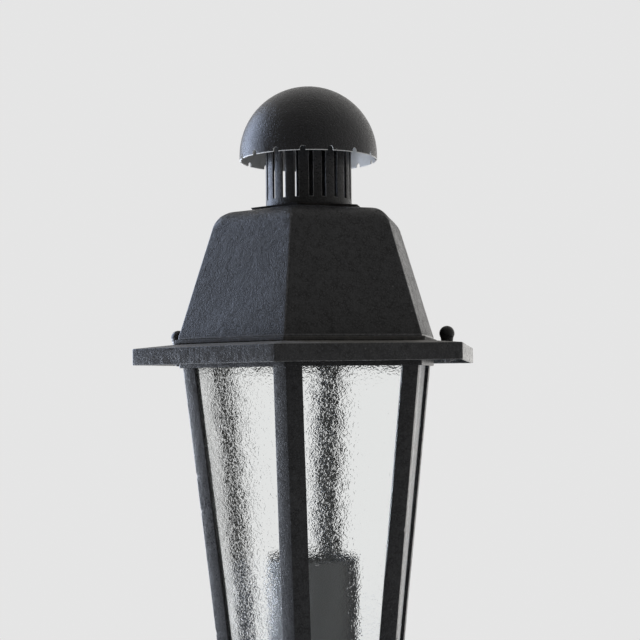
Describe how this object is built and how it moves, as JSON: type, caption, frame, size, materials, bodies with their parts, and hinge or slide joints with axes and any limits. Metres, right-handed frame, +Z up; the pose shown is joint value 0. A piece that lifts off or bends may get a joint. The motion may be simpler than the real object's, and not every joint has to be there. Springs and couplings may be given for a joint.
{
  "type": "bollard light",
  "caption": "Bollard light with a tapering hexagonal glazed lantern, a lift-off vented roof under a dome cap and a round post on a bolt-down foot.",
  "frame": {"origin": "middle of the foot plate's underside", "axes": "+Z up the post to the dome; -Y is a corner of the hexagon, taken as the front; the two lid knobs are on +X and -X"},
  "size_m": [0.2772, 0.3194, 1],
  "materials": {
    "black_paint": "satin black paint with a fine crackle",
    "hammered_glass": "clear, finely hammered on one side",
    "grey_metal": "dull grey",
    "zinc_steel": "zinc plated",
    "black_plastic": "matt moulded",
    "white_plastic": "satin moulded",
    "porcelain": "glazed",
    "lens_glass": "lightly frosted",
    "black_rubber": "matt foam strip"
  },
  "bodies": {
    "bollard": {"base_plate": "black_paint", "post_tube": "black_paint", "post_socket": "black_paint", "set_screw_1": "zinc_steel", "set_screw_2": "zinc_steel", "set_screw_3": "zinc_steel", "bottom_tray": "black_paint", "corner_post_1": "black_paint", "corner_post_2": "black_paint", "corner_post_3": "black_paint", "corner_post_4": "black_paint", "corner_post_5": "black_paint", "corner_post_6": "black_paint", "glazing_strip_1": "black_paint", "glazing_strip_2": "black_paint", "glazing_strip_3": "black_paint", "glazing_strip_4": "black_paint", "glazing_strip_5": "black_paint", "glazing_strip_6": "black_paint", "glass_pane_1": "hammered_glass", "glass_pane_2": "hammered_glass", "glass_pane_3": "hammered_glass", "glass_pane_4": "hammered_glass", "glass_pane_5": "hammered_glass", "glass_pane_6": "hammered_glass", "top_rail": "black_paint", "lid_bracket_left": "black_paint", "lid_bracket_right": "black_paint", "bracket_nut_left": "zinc_steel", "bracket_nut_right": "zinc_steel", "lamp_can": "grey_metal", "cable_gland": "black_plastic", "gland_nut": "black_plastic", "lampholder": "porcelain", "lid_seal": "black_rubber"},
    "lid": {"rim_tray": "black_paint", "roof_foot_ring": "black_paint", "roof_shell": "black_paint", "chimney_plate": "black_paint", "chimney_tube": "black_paint", "dome_cap": "black_paint"},
    "knob_left": {"lid_knob_left": "black_paint", "knob_stud_left": "zinc_steel", "stud_retainer_left": "zinc_steel"},
    "knob_right": {"lid_knob_right": "black_paint", "knob_stud_right": "zinc_steel", "stud_retainer_right": "zinc_steel"},
    "lamp": {"lamp_body": "white_plastic", "lamp_lens": "lens_glass"}
  },
  "joints": [
    {"name": "lid_lift", "type": "slide", "parent": "bollard", "child": "lid", "axis": [0, 0, 1], "range_m": [0, 0.15]},
    {"name": "knob_left_turn", "type": "hinge", "parent": "lid", "child": "knob_left", "pos_m": [-0.1203, 0, 0.7788], "axis": [0, 0, 1], "continuous": true},
    {"name": "knob_right_turn", "type": "hinge", "parent": "lid", "child": "knob_right", "pos_m": [0.1203, 0, 0.7788], "axis": [0, 0, 1], "continuous": true},
    {"name": "lamp_lift", "type": "slide", "parent": "bollard", "child": "lamp", "axis": [0, 0, 1], "range_m": [0, 0.115]}
  ]
}
